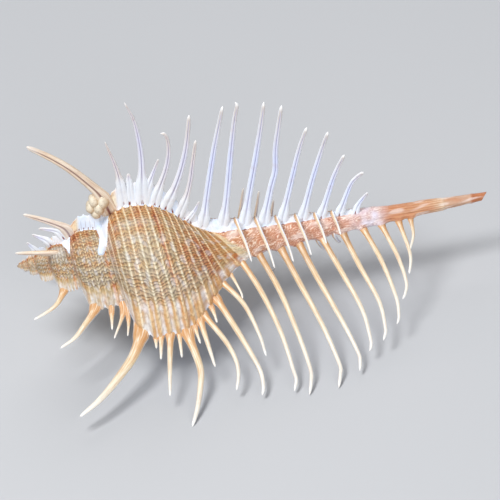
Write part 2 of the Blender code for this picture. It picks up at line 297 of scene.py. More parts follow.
def skin_radius(back, q):
    """Radius of the outer skin without its relief, and how far the row's flange stands there."""
    size = TURN_GROWTH ** (-back / 360.0)
    into = back % ROW_STEP
    after = ROW_STEP - into
    row = row_number(back)
    behind = (1 - np.clip(into / BEHIND, 0, 1)) ** 2.2
    share = np.where(after < FRONT, 1 - step(0.3, 3.1, after), behind)
    lip = row % 3 == 0
    flange = np.where(lip, smooth_table(LIP_FLANGE, q), smooth_table(UPPER_FLANGE, q))
    folds = np.where(lip, spine_folds(q, LIP_ROW, 1.0), spine_folds(q, UPPER_ROW, STEP_SIZE))
    frill = (0.16 * np.sin(q * 7.9) + 0.12 * np.sin(q * 4.3 + 1.0)) * (1 - folds)
    flange = flange * 0.92 + (1.5 * folds + frill) * step(0.5, 3.0, flange)
    return size * (smooth_table(WHORL, q) + flange * share), share, folds


def body_point(back, q):
    """Place and paint fields of the outer skin: degrees back from the lip, place on the outline."""
    size = TURN_GROWTH ** (-back / 360.0)
    angle = LIP_ANGLE + back
    x = q * size
    into = back % ROW_STEP
    after = ROW_STEP - into
    row = row_number(back)
    r, share, folds = skin_radius(back, q)
    behind = np.where(into < BEHIND, share, 0.0)
    face = np.where((after < FRONT) & (back > 4), 1.0, 0.0)
    inner_lip = (1 - step(0.86, 1.0, np.hypot((360.0 - back) / 48.0, (62.0 - q) / 16.5))) * (back < 361.0)
    crest = cords(q)
    scales = growth_lines(back, q)
    ribs = sum(bell(into, middle, 6.0) for middle in (26.0, 43.0, 60.0, 76.0, 92.0))
    ribs = ribs * (0.75 + 0.35 * wander(back * 0.03, q * 0.12, 8.0)) * step(29.0, 33.0, q)
    ribs = ribs * (1 - step(54.0, 60.0, q))
    rough = (1 - face) * (1 - 0.75 * step(0.80, 1.0, behind)) * (1 - 0.9 * inner_lip)
    calm = 1 - 0.6 * step(0.04, 0.35, behind)
    relief = 0.52 * crest * (0.40 + 0.70 * scales) + 0.22 * scales * calm - 0.14 + 0.46 * ribs
    ruffle = wander(back * 0.5, q * 1.7, 13.0) * step(0.04, 0.35, behind)
    relief = relief + 1.9 * folds * behind * (1 - behind) + 0.12 * wander(back * 0.22, q * 1.1, 5.0)
    relief = relief + 0.16 * ruffle
    swelling = bell(back, FRONT_ROW_BACK, 17.0) * step(28.5, 32.0, q) * (1 - step(42.0, 49.0, q))
    stripes = 0.5 + 0.5 * np.cos(2 * math.pi * 6.0 * share)
    relief = relief * step(27.2, 28.6, q)
    r = r + size ** 0.7 * relief * rough + size * 6.0 * swelling
    x = x + size * 0.22 * stripes * face * (q < 36.0)
    canal = canal_radius(angle, x) - 0.2
    blended = soft_max(r, canal, 0.45)
    r = np.where((back < 352.0) & (x > 46.0), r + (blended - r) * step(46.0, 52.0, x), r)
    place = np.stack([x, np.zeros_like(x), np.zeros_like(x)], -1) + outward(angle) * r[..., None]
    place = place + lift(x) * (back < 360.0)[..., None]

    beads = 0.5 + 0.5 * np.cos(2 * math.pi * cord_number(q))
    scallop = 3.3 + 1.9 * (1 - beads)
    lip = row % 3 == 0
    older = row > 2
    shoulder = np.where(lip, step(29.0, 31.0, q), step(33.5 + 1.0 * older, 36.5 + 1.5 * older, q))
    enamel = (1 - step(0.85, 1.15, after / scallop)) * (back > 4) * (0.25 + 0.75 * shoulder)
    rim = step(0.78, 0.98, behind)
    enamel = np.maximum(np.maximum(enamel, rim * 0.8 * (1 - folds)), inner_lip)
    slit = bell(share, 0.10, np.where(older, 0.07, 0.15)) * (after < 3.6) * beads ** 3 * (back > 4)
    slit = slit * step(30.0, 31.5, q)
    slit = np.maximum(slit, 0.55 * face * (1 - beads) ** 10 * older * (1 - step(0.55, 0.9, share)))
    uneven = 0.10 * wander(back * 0.15, q * 0.4, 15.0)
    warm = warmth(back, into, q, ribs) + older * (0.08 - 0.30 * ribs + uneven)
    warm = warm - 0.30 * older * step(0.03, 0.3, behind)
    orange = np.where(older, 0.2, 0.75 + 0.25 * ruffle)
    fold_skin = step(0.35, 0.85, folds) * step(0.10, 0.5, behind) * orange
    blotch = 0.5 + 0.5 * wander(back * 0.24, q * 1.3, 6.0)
    gaps = 1 - step(0.35, 0.75, folds) * np.where(older, 0.4, 1.0)
    frosted = 0.45 + 0.65 * blotch + 0.45 * ruffle
    pale = step(0.03 + 0.2 * older, 0.30 + 0.2 * older, behind) * gaps * frosted
    pale = np.maximum(pale, 0.55 * step(0.62, 0.92, blotch) * (1 - 0.8 * top_share(into, q)) + 0.22 * ribs)
    pale = np.maximum(pale, (1 - step(29.0, 32.2, q)) * (0.25 + 0.45 * blotch) * (0.5 + 0.5 * beads))
    pale = np.maximum(pale, 0.8 * swelling * (0.5 + 0.5 * beads))
    scales = scales * rough
    scales = scales + (0.6 - scales) * np.maximum(step(0.03, 0.25, behind), 0.8 * step(55.0, 63.0, q))
    layered = face * (1 - shoulder) > 0.3
    scales = np.where(layered, stripes, scales)
    crest = crest * rough * np.where(older, 0.45 + 0.5 * scales, 1.0)
    crest = np.where(layered, 0.75, crest)
    fields = {
        "crest": crest, "scales": scales, "enamel": enamel, "pale": np.clip(pale, 0, 1),
        "warm": np.clip(warm, 0, 1), "slit": slit, "age": fold_skin,
    }
    return place, fields


def top_share(into, q):
    return step(60.0, 100.0, into) * (1 - 0.5 * step(50.0, 56.0, q))


def grid_faces(columns, rows, closed=False):
    faces = []
    last = columns if closed else columns - 1
    for k in range(last):
        a = k * rows
        b = ((k + 1) % columns) * rows
        for i in range(rows - 1):
            faces.append((a + i, b + i, b + i + 1, a + i + 1))
    return faces


def make_piece(name, places, faces, fields):
    mesh = bpy.data.meshes.new(name)
    flat = places.reshape(-1, 3)
    turn = np.array(to_world)
    world = (flat @ turn.T + np.array(APEX)) * MM
    mesh.from_pydata(world.tolist(), [], faces)
    for key, values in fields.items():
        layer = mesh.attributes.new(key, "FLOAT", "POINT")
        layer.data.foreach_set("value", np.broadcast_to(values, places.shape[:-1]).ravel().astype(np.float32))
    mesh.polygons.foreach_set("use_smooth", [True] * len(mesh.polygons))
    mesh.update()
    piece = bpy.data.objects.new(name, mesh)
    bpy.context.collection.objects.link(piece)
    return piece


# "age" is the orange's share on the whorls, the place along the canal on the canal and the distance
# from the skin on the spines.
FIELD_NAMES = ("crest", "scales", "enamel", "pale", "warm", "slit", "age")


def plain_fields(like, **given):
    return {key: given.get(key, 0.0) + np.zeros_like(like) for key in FIELD_NAMES}


def sector(start, fine, end=ROW_STEP):
    """Columns from one row back to just before the next, finest on the row's steep front."""
    body = np.arange(0.0, end - 3.4, fine)
    front = end - np.array([3.2, 2.9, 2.6, 2.3, 2.0, 1.7, 1.4, 1.1, 0.8, 0.4])
    return start + np.concatenate([body, front])


def build_last_whorl():
    """Skin of the last whorl, from the lip once round."""
    outline = np.concatenate([
        np.arange(27.0, 30.0, 0.35), np.arange(30.0, 58.0, 0.245), np.arange(58.0, 67.0, 0.4),
    ])
    around = np.concatenate([sector(0, 0.52), sector(120, 0.75), sector(240, 0.9), [360.0]])
    return [sheet_of(around, outline)]


def build_spire():
    """Skin of the earlier whorls as sheets that overlap where one sits on the one before."""
    second = np.concatenate([sector(360, 0.85), sector(480, 1.3), sector(600, 1.5), [720.0]])
    third = np.concatenate([sector(720, 1.3), sector(840, 2.0), sector(960, 2.0), [1080.0]])
    rest = np.concatenate([
        sector(1080, 2.6), sector(1200, 3.0), sector(1320, 4.0), np.arange(1440, 2600, 8.0),
    ])
    return [
        sheet_of(second, np.concatenate([np.arange(27.0, 30.0, 0.45), np.arange(30.0, 52.0, 0.30)])),
        sheet_of(third, np.concatenate([np.arange(27.0, 30.0, 0.5), np.arange(30.0, 52.0, 0.36)])),
        sheet_of(rest, np.arange(27.0, 52.5, 0.8)),
        build_glaze(GLAZE), build_glaze(EARLIER_GLAZE),
    ] + shoulder_knobs()


def sheet_of(backs, outline):
    back, q = np.meshgrid(backs, outline, indexing="ij")
    place, fields = body_point(back, q)
    return place, grid_faces(len(backs), len(outline)), fields


def build_glaze(strip):
    """Smooth white tongue where the newer whorl was glued down on the one before."""
    strip = np.array(strip)[::-1]
    backs = np.linspace(strip[0, 0], strip[-1, 0], 48)
    middle = np.interp(backs, strip[:, 0], strip[:, 1])
    half = np.interp(backs, strip[:, 0], strip[:, 2])
    s = np.linspace(-1.0, 1.0, 17)
    back, across = np.meshgrid(backs, s, indexing="ij")
    x = middle[:, None] + half[:, None] * across
    under = np.zeros_like(x)
    for turns in (0.0, 360.0):
        older = back + turns
        q = x / TURN_GROWTH ** (-older / 360.0)
        r = skin_radius(older, q)[0]
        under = np.maximum(under, np.where(q < 26.8, 0.0, r))
    ends = step(0.0, 0.12, (backs - backs.min()) / np.ptp(backs))[:, None]
    r = under - 0.25 + (1.05 * (1 - np.abs(across) ** 2.5) ** 0.6) * ends * np.minimum(1.0, half[:, None])
    place = np.stack([x, np.zeros_like(x), np.zeros_like(x)], -1) + outward(LIP_ANGLE + back) * r[..., None]
    return place, grid_faces(len(backs), len(s)), plain_fields(x, enamel=0.95)


def build_mouth():
    """Front of the lip, its margin and the smooth wall inside."""
    outline = np.arange(28.0, 66.0, 0.3)
    wall = 1.7 * step(28.0, 31.0, outline)
    inner = smooth_table(WHORL, outline) - wall
    narrow = step(50.5, 57.0, outline)
    margin = inner * (1 - narrow) + np.minimum(inner, 6.0) * narrow
    crest = skin_radius(np.zeros_like(outline), outline)[0]
    columns = []
    marks = []
    for f in np.linspace(0.0, 1.0, 16):
        r = crest + (margin - crest) * f
        bulge = 1.3 * math.sin(math.pi * min(f * 1.15, 1.0)) + 2.2 * f
        teeth = 0.25 * f * np.sin(outline * 2.9)
        columns.append((outline, -bulge * np.ones_like(outline), r + teeth * (1 - narrow)))
        marks.append(f)
    for back in (-1.5, 0.0, 3.0, 7.0, 13.0, 22.0, 34.0, 50.0, 70.0, 95.0, 120.0):
        open_out = step(-2.0, 12.0, back)
        size = TURN_GROWTH ** (-max(back, 0.0) / 360.0)
        r = (margin + (inner - margin) * open_out) * size
        columns.append((outline * size, back * np.ones_like(outline), r))
        marks.append(1.2 + max(back, 0) / 60.0)
    x = np.array([c[0] for c in columns])
    back = np.array([c[1] for c in columns])
    r = np.maximum(np.array([c[2] for c in columns]), 0.5)
    place = np.stack([x, np.zeros_like(x), np.zeros_like(x)], -1) + outward(LIP_ANGLE + back) * r[..., None]
    place = place + lift(x)
    depth = np.array(marks)[:, None] * np.ones_like(x)
    faces = [tuple(reversed(face)) for face in grid_faces(len(columns), len(outline))]
    return place, faces, plain_fields(x, enamel=1.0, warm=np.clip(depth - 1.0, 0, 1))


def build_canal():
    """Tube of the front canal with its ridges, its slit and the open cut end."""
    xs = np.concatenate([np.arange(37.0, 52.0, 0.6), np.arange(52.0, 129.6, 0.34), [129.7]])
    depth = np.concatenate([np.zeros(len(xs)), [0.1, 0.6, 2.6]])
    hollow = np.concatenate([np.ones(len(xs)), [0.68, 0.55, 0.05]])
    xs = np.concatenate([xs, [129.7] * 3])
    angles = np.arange(0.0, 360.0, 3.0)
    angle, x = np.meshgrid(angles, xs, indexing="ij")
    r = canal_radius(angle, x)
    web = sum(bell(x, places[0][0] + 0.8, 1.3) for root, tip, *places in LIP_ROW[13:])
    web = web * row_shape(angle, LIP_ANGLE, 34.0, 30.0)
    r = r * (0.6 + 0.4 * step(36.0, 42.0, x)) + 0.9 * web
    slit = (angle - (LIP_ANGLE - 62.0) + 180) % 360 - 180
    groove = 0.55 * np.minimum(1.0, r / 3.0) * np.exp(-((slit / 9.0) ** 2)) * step(58.0, 61.0, x)
    r = r - groove * (1 - step(124, 128, x))
    sway = 1.6 * np.sin(np.radians(angle * 2 + 40)) + 0.9 * np.sin(np.radians(angle * 5))
    first = 1 - (x * 0.80 + sway + 1.1 * wander(x * 0.7, angle * 0.05, 3.0)) % 1.0
    second = 1 - (x * 0.55 - 1.3 * sway + 1.2 * wander(x * 0.6, angle * 0.06, 11.0)) % 1.0
    scales = np.maximum(first ** 1.6, 0.8 * second ** 2)
    threads = 0.5 + 0.5 * np.cos(np.radians(angle * 18.0) + 0.6 * np.sin(x * 0.35))
    bare = step(99.0, 104.0, x)
    gone = step(118.0, 119.0, x)
    column = (angle - INNER_LIP_ANGLE + 180) % 360 - 180
    beside = np.abs(column) + 4.0 * np.maximum(x - 54.0, 0.0)
    inner_lip = (1 - step(42.0, 52.0, beside)) * (1 - step(60.0, 64.0, x))
    rough = (1 - bare) * (0.30 * scales + 0.06 * threads) * (1 - inner_lip)
    rough = rough + bare * (1 - gone) * (0.07 * threads + 0.05 * scales)
    rough = rough + gone * 0.05 * wander(x * 1.3, angle * 0.05, 4.0)
    rough = rough + 0.08 * wander(x * 0.8, angle * 0.08, 2.0) * (1 - gone)
    sheath = 0.12 * (1 - step(118.2, 118.7, x + 0.6 * np.sin(np.radians(angle - 60.0)))) * step(104, 112, x)
    ring = 0.14 * bell(x, 126.2, 0.35)
    r = (r + (rough + sheath + ring) * (1 - step(128.5, 129.7, x))) * hollow
    slant = 0.75 * np.cos(np.radians(angle - 125.0)) * step(125.5, 129.7, x)
    x_place = x + slant - depth
    place = np.stack([x_place, 0 * x, 0 * x], -1) + outward(angle) * r[..., None] + lift(x_place)
    front = np.zeros_like(x)
    notch = np.zeros_like(x)
    for row, turned, until in ((UPPER_ANGLE, 1.0, 97.0), (HIDDEN_ANGLE, STEP_SIZE, 90.0)):
        off = (angle - row + 180) % 360 - 180
        near = np.zeros_like(x)
        for root, tip, *places in UPPER_ROW[9:]:
            near = np.maximum(near, bell(x, places[0][0] * turned + 0.4, 1.1))
        low = 15.5 + 6.0 * near
        band = (1 - step(3.0, 5.0, off)) * (1 - step(low, low + 3.0, -off)) * (1 - step(until - 4, until, x))
        front = np.maximum(front, band)
        notch = np.maximum(notch, near ** 4 * bell(-off, 21.0, 3.0))
    rim = (1 - step(2.0, 7.0, np.abs((angle - LIP_ANGLE + 180) % 360 - 180))) * (1 - step(96, 104, x))
    pale = bell(x, 97.5, 3.6) * (0.75 + 0.5 * wander(x * 0.9, angle * 0.05, 9.0)) + 0.6 * rim * (1 - web)
    warm = 0.5 + 0.35 * wander(x * 0.45, angle * 0.06, 5.0)
    faces = grid_faces(len(angles), len(xs), closed=True)
    tip = len(xs) - 1
    faces.append(tuple(k * len(xs) + tip for k in range(len(angles))))
    fields = plain_fields(
        x, crest=threads, scales=scales * (1 - gone), enamel=np.clip(front + inner_lip, 0, 1),
        pale=np.clip(pale, 0, 1), warm=np.clip(warm, 0, 1), slit=np.clip(notch + (depth > 0.3), 0, 1),
        age=x / 100.0,
    )
    return place, faces, fields


def join_sheets(name, sheets):
    places = []
    faces = []
    fields = {key: [] for key in FIELD_NAMES}
    start = 0
    for place, own, values in sheets:
        flat = place.reshape(-1, 3)
        places.append(flat)
        faces += [tuple(n + start for n in face) for face in own]
        for key in FIELD_NAMES:
            fields[key].append(np.broadcast_to(values[key], place.shape[:-1]).ravel())
        start += len(flat)
    return make_piece(name, np.concatenate(places), faces, {k: np.concatenate(v) for k, v in fields.items()})


# ---------------------------------------------------------------- spines
SIDES = np.radians([0, 24, 46, 62, 74, 83, 90, 97, 106, 118, 134, 156, 180, 212, 244, 270, 296, 328])


def smooth_line(points, count):
    """Steps along a smooth curve through the points, closer near the tip."""
    points = np.array(points, float)
    ends = np.vstack([points[0] * 2 - points[1], points, points[-1] * 2 - points[-2]])
    fine = []
    for n in range(len(points) - 1):
        a, b, c, d = ends[n:n + 4]
        for f in np.linspace(0, 1, 24, endpoint=n == len(points) - 2):
            fine.append(0.5 * (
                2 * b + (c - a) * f + (2 * a - 5 * b + 4 * c - d) * f ** 2 + (3 * b - a - 3 * c + d) * f ** 3
            ))
    fine = np.array(fine)
    length = np.concatenate([[0], np.cumsum(np.linalg.norm(np.diff(fine, axis=0), axis=1))])
    f = np.linspace(0, 1, count)
    f = 0.5 * f + 0.5 * (1 - (1 - f) ** 1.8)
    at = f * length[-1]
    return np.stack([np.interp(at, length, fine[:, i]) for i in range(3)], -1), at, length[-1]


def spine(points, root, tip, side, flare, foot, groove=0.5, tan=0.0, edge=None):
    """One tapered spine: grooved on its growing side, its root spread and flattened into the row."""
    rungs = 30 if root > 0.7 else 18
    path, along, whole = smooth_line(points, rungs)
    f = along / whole
    ahead = np.gradient(path, axis=0)
    ahead /= np.linalg.norm(ahead, axis=1)[:, None]
    side = side - ahead * (ahead @ side)[:, None]
    side /= np.linalg.norm(side, axis=1)[:, None]
    across = np.cross(ahead, side)
    body = tip + (root - tip) * (1 - f) ** 0.62
    body = body * np.sqrt(np.clip(1 - ((f - 0.955) / 0.045).clip(0, 1) ** 2, 0.04, 1))
    away = along - foot
    spread = flare * np.exp(-np.maximum(away, 0.0) / 1.2)
    sunk = 1 - step(-5.0, 0.8, away)
    edge = foot - 5.0 if edge is None else edge
    rings = []
    fields = {key: [] for key in FIELD_NAMES}
    for n in range(rungs):
        mark = np.exp(-((SIDES - math.pi / 2) / 0.24) ** 2)
        r = 1 - groove * mark * (1 - step(0.86, 0.97, f[n]))
        wide = (body[n] + spread[n]) * np.cos(SIDES) * r
        deep = body[n] * 0.92 * np.sin(SIDES) * r * (1 - 0.55 * sunk[n])
        rings.append(path[n] + across[n] * wide[:, None] + side[n] * deep[:, None])
        fields["crest"].append(0 * SIDES + np.clip(away[n] / max(whole - foot, 1.0), 0, 1))
        fields["scales"].append(mark)
        fields["enamel"].append(np.sin(SIDES))
        fields["pale"].append(SIDES / (2 * math.pi) * 3.0)
        fields["warm"].append(0 * SIDES + tan)
        fields["slit"].append(mark * bell(along[n], edge + 0.5, 1.0))
        fields["age"].append(0 * SIDES + away[n] * 0.1)
    count = len(SIDES)
    places = np.concatenate(rings + [[path[-1] + ahead[-1] * body[-1] * 0.5], [path[0]]])
    faces = []
    for n in range(rungs - 1):
        for k in range(count):
            j = (k + 1) % count
            faces.append((n * count + k, n * count + j, (n + 1) * count + j, (n + 1) * count + k))
    point = rungs * count
    for k in range(count):
        j = (k + 1) % count
        faces.append(((rungs - 1) * count + k, (rungs - 1) * count + j, point))
        faces.append((j, k, point + 1))
    last = {"crest": 1.0, "warm": tan, "age": (whole - foot) * 0.1}
    fields = {key: np.concatenate(fields[key] + [[last.get(key, 0.0), 0.0]]) for key in FIELD_NAMES}
    return places, faces, fields


def skin_at(x, size):
    """Radius of the bare skin at x just in front of a row."""
    whorl = size * smooth_table(WHORL, x / size) * (x / size < 66.0)
    return max(float(whorl), 0.8 * float(smooth_table(CANAL, x)) * (x > 46.0))


def row_spines(row, angle, size, front_shift=0.0, tans=(0.0,), spread=0.6):
    made = []
    out = outward(np.array(float(angle)))
    side = -np.array([0.0, math.sin(math.radians(angle)), math.cos(math.radians(angle))])
    for number, (root, tip, *points) in enumerate(row):
        places = []
        for x, distance in points:
            x, distance = x * size, distance * size
            places.append(np.array([x, 0, 0]) + lift(np.array(x)) + out * distance + side * front_shift)
        foot = np.linalg.norm(places[1] - places[0])
        skin = skin_at(points[0][0] * size + 0.4, size * (STEP_SIZE if front_shift > 0.4 else 1.0))
        climb = max((points[1][1] - points[0][1]) * size, 0.1)
        edge = max(0.0, (skin - points[0][1] * size) * foot / climb)
        tan = tans[min(number, len(tans) - 1)]
        flare = min(spread * root, 0.75) * size
        made.append(spine(places, root * size ** 0.5, tip, side, flare, foot, 0.45, tan, edge))
    return made


def short_spines(angle, size):
    """Thin second spines that leave the ridge between the long ones and lean over the canal."""
    made = []
    for x, length in SHORT_SPINES:
        x, length = x * size, length * size
        start = np.array([x, 0, 0]) + lift(np.array(x))
        height = float(canal_radius(np.array(angle), np.array(x)))
        crest = start + outward(np.array(angle)) * (height - 0.2)
        reach = outward(np.array(angle - 106.0))
        bend = outward(np.array(angle - 62.0))
        ahead = np.array([1.0, 0.0, 0.0])
        places = [
            crest - outward(np.array(angle)) * 1.2,
            crest + bend * 0.5,
            crest + reach * length * 0.25 + bend * length * 0.13 + ahead * length * 0.06,
            crest + reach * length * 0.58 + bend * length * 0.15 + ahead * length * 0.14,
            crest + reach * length * 0.95 + bend * length * 0.04 + ahead * length * 0.20,
        ]
        made.append(spine(places, 0.62, 0.26, ahead, 0.35, 1.5, 0.2, 0.25))
    return made


def knob(middle, radii):
    """A rounded lump as a closed ball stretched along the shell's own axes."""
    rings = np.radians(np.linspace(0.0, 180.0, 11))
    around = np.radians(np.arange(0.0, 360.0, 24.0))
    count = len(around)
    places = []
    for ring in rings[1:-1]:
        for turn in around:
            places.append((math.cos(ring), math.sin(ring) * math.cos(turn), math.sin(ring) * math.sin(turn)))
    places += [(1.0, 0.0, 0.0), (-1.0, 0.0, 0.0)]
    places = np.array(places)
    uneven = wander(places[:, 0] * 2.2 + middle[0], places[:, 1] * 2.2 + places[:, 2] * 1.6, 5.0)
    # The side turned towards the view and the apex is painted paler and creamier: a painted highlight on the
    # lit side of each lump.
    toward = np.clip(0.5 + 0.6 * (places @ np.array([-0.5, -0.6, 0.6])), 0, 1)
    places = middle + places * radii * (1 + 0.13 * uneven)[:, None]
    faces = []
    for n in range(len(rings) - 3):
        for k in range(count):
            j = (k + 1) % count
            faces.append((n * count + j, n * count + k, (n + 1) * count + k, (n + 1) * count + j))
    top = len(places) - 2
    for k in range(count):
        j = (k + 1) % count
        faces.append((j, top, k))
        faces.append((top - count + k, top + 1, top - count + j))
    return places, faces, plain_fields(
        places[:, 0], crest=0.3 + 0.4 * toward, scales=0.2 + 0.5 * toward + 0.1 * uneven,
        pale=0.35 * toward, warm=0.45 - 0.3 * toward,
    )


def shoulder_knobs():
    """Rounded lumps on the shoulder where the upper row begins."""
    side = -np.array([0.0, math.sin(math.radians(UPPER_ANGLE)), math.cos(math.radians(UPPER_ANGLE))])
    out = outward(np.array(UPPER_ANGLE))
    made = []
    for x, distance, radius in SHOULDER_KNOBS:
        middle = np.array([x, 0, 0]) + out * distance + side * 0.3
        made.append(knob(middle, np.array([0.85, 1.15, 1.05]) * radius))
    return made


def build_spines():
    made = []
    made += row_spines(LIP_ROW, LIP_ANGLE, 1.0, 0.2)
    made += row_spines(UPPER_ROW, UPPER_ANGLE, 1.0, 0.5, UPPER_TANS)
    made += row_spines(UPPER_ROW, HIDDEN_ANGLE, STEP_SIZE, 0.5, UPPER_TANS)
    made += row_spines(EARLIER_LIP_ROW, LIP_ANGLE, 1.0)
    made += row_spines(EARLIER_UPPER_ROW, UPPER_ANGLE, 1.0, 0.0, (0.75, 0.2, 0.1, 0.1))
    made += row_spines(EARLIER_LIP_ROW, HIDDEN_ANGLE, STEP_SIZE ** 2)
    made += row_spines(EARLIEST_ROW, LIP_ANGLE, 1.0)
    made += row_spines(FRONT_ROW, FRONT_ANGLE, 1.0, 0.0, (0.8,), 1.2)
    made += short_spines(LIP_ANGLE, 1.0)
    made += short_spines(UPPER_ANGLE, 1.0)
    made += short_spines(HIDDEN_ANGLE, STEP_SIZE)
    return made


# ---------------------------------------------------------------- shader maths
class Socket:
    """An output socket whose operators add Math nodes."""

    def __init__(self, tree, socket):
        self.tree = tree
        self.socket = socket

    def math(self, operation, *others):
        inputs = {0: self}
        inputs.update({i + 1: other for i, other in enumerate(others)})
        return node(self.tree, "ShaderNodeMath", {"operation": operation}, inputs)

    def __add__(self, other):
        return self.math("ADD", other)

    __radd__ = __add__

    def __sub__(self, other):
        return self.math("SUBTRACT", other)

    def __rsub__(self, other):
        return node(self.tree, "ShaderNodeMath", {"operation": "SUBTRACT"}, {0: other, 1: self})

    def __mul__(self, other):
        return self.math("MULTIPLY", other)

    __rmul__ = __mul__

    def __truediv__(self, other):
        return self.math("DIVIDE", other)

    def __pow__(self, other):
        return self.math("POWER", other)

    def clip(self):
        return node(self.tree, "ShaderNodeMath", {"operation": "ADD", "use_clamp": True}, {0: self, 1: 0.0})

    def between(self, low, high):
        """0 below low, 1 above high, smooth between."""
        return node(
            self.tree, "ShaderNodeMapRange", {"interpolation_type": "SMOOTHSTEP"},
            {0: self, 1: low, 2: high, 3: 0.0, 4: 1.0},
        )


def node(tree, kind, settings=None, inputs=None, output=0):
    """A node with its settings, then its sockets' values or links, as its output socket."""
    made = tree.nodes.new(kind)
    for key, value in (settings or {}).items():
        if key == "stops":
            ramp = made.color_ramp
            while len(ramp.elements) < len(value):
                ramp.elements.new(0.5)
            for element, (place, colour) in zip(ramp.elements, value):
                element.position = place
                element.color = (*colour, 1.0)
        else:
            setattr(made, key, value)
    for key, value in (inputs or {}).items():
        if isinstance(value, Socket):
            tree.links.new(value.socket, made.inputs[key])
        else:
            made.inputs[key].default_value = value
    return Socket(tree, made.outputs[output])


def mix(factor, a, b, tree):
    """Colour a where the factor is 0, b where it is 1."""
    a = (*a, 1.0) if isinstance(a, tuple) else a
    b = (*b, 1.0) if isinstance(b, tuple) else b
    settings = {"data_type": "RGBA", "clamp_factor": True}
    return node(tree, "ShaderNodeMix", settings, {0: factor, 6: a, 7: b}, 2)


def field(tree, name):
    return node(tree, "ShaderNodeAttribute", {"attribute_name": name}, {}, 2)


def noise(tree, where, scale, detail):
    return node(
        tree, "ShaderNodeTexNoise", {"noise_dimensions": "3D"},
        {"Vector": where, "Scale": scale, "Detail": detail, "Roughness": 0.55},
    )


def fine_bump(tree, shader, strength, height):
    bump = node(
        tree, "ShaderNodeBump", {}, {"Strength": strength, "Distance": 0.0002, "Height": height},
    )
    tree.links.new(bump.socket, shader.inputs["Normal"])


def new_material(name, roughness):
    material = bpy.data.materials.new(name)
    material.use_nodes = True
    tree = material.node_tree
    shader = tree.nodes["Principled BSDF"]
    shader.inputs["Roughness"].default_value = roughness
    return material, tree, shader


def sRGB(*levels):
    """Linear colour from screen levels of 0 to 255."""
    shares = [level / 255 for level in levels]
    return tuple(share / 12.92 if share <= 0.04045 else ((share + 0.055) / 1.055) ** 2.4 for share in shares)


def coil_material():
    material, tree, shader = new_material("shell_skin", 0.40)
    where = node(tree, "ShaderNodeTexCoord", {}, {}, 3)
    crest, scales, enamel, pale, warm, slit, folds = (field(tree, name) for name in FIELD_NAMES)
    patchy = noise(tree, where, 300.0, 3.0)
    fine = noise(tree, where, 1400.0, 3.0)
    tone = warm + (patchy - 0.5) * 0.35
    ground = node(tree, "ShaderNodeValToRGB", {"stops": (
        (0.0, sRGB(182, 162, 124)), (0.25, sRGB(190, 152, 102)), (0.5, sRGB(192, 134, 80)),
        (0.72, sRGB(184, 106, 54)), (1.0, sRGB(118, 58, 28)),
    )}, {0: tone})
    # Darker between the cords and just in front of each growth edge: the grooves' own brown with painted
    # shade in the grooves and under the scale edges.
    low = ((1 - crest) * (1 - scales)).between(0.2, 0.8)
    body = mix(low, ground, mix(0.62, ground, sRGB(66, 30, 8), tree), tree)
    # Cream on the cord crests and the fresh growth edges: the beads' own cream with a painted highlight on
    # the raised crests and edges.
    cream = mix(tone.between(0.1, 0.8), sRGB(238, 229, 200), sRGB(242, 214, 168), tree)
    bead_cream_and_highlight = (crest.between(0.4, 0.85) * (0.3 + 0.8 * scales) + scales.between(0.7, 1.0) * 0.25).clip()
    body = mix(bead_cream_and_highlight * 0.95, body, cream, tree)
    body = mix((pale * (0.7 + 0.3 * scales)).clip() * 0.8, body, sRGB(225, 226, 230), tree)
    orange = mix(patchy.between(0.4, 0.6), sRGB(206, 154, 100), sRGB(222, 192, 150), tree)
    body = mix(folds * 0.9, body, orange, tree)
    white = mix(patchy.between(0.35, 0.65), sRGB(214, 228, 248), sRGB(234, 238, 246), tree)
    colour = mix(enamel.between(0.1, 0.9), body, white, tree)
    colour = mix(slit.between(0.2, 0.8), colour, sRGB(120, 44, 28), tree)
    colour = mix(fine.between(0.5, 0.75) * (1 - enamel) * 0.3, colour, sRGB(104, 56, 28), tree)
    tree.links.new(colour.socket, shader.inputs["Base Color"])
    rough = 0.5 - enamel.between(0.3, 0.7) * 0.18
    tree.links.new(rough.socket, shader.inputs["Roughness"])
    fine_bump(tree, shader, 0.4, fine + patchy * 0.5)
    return material


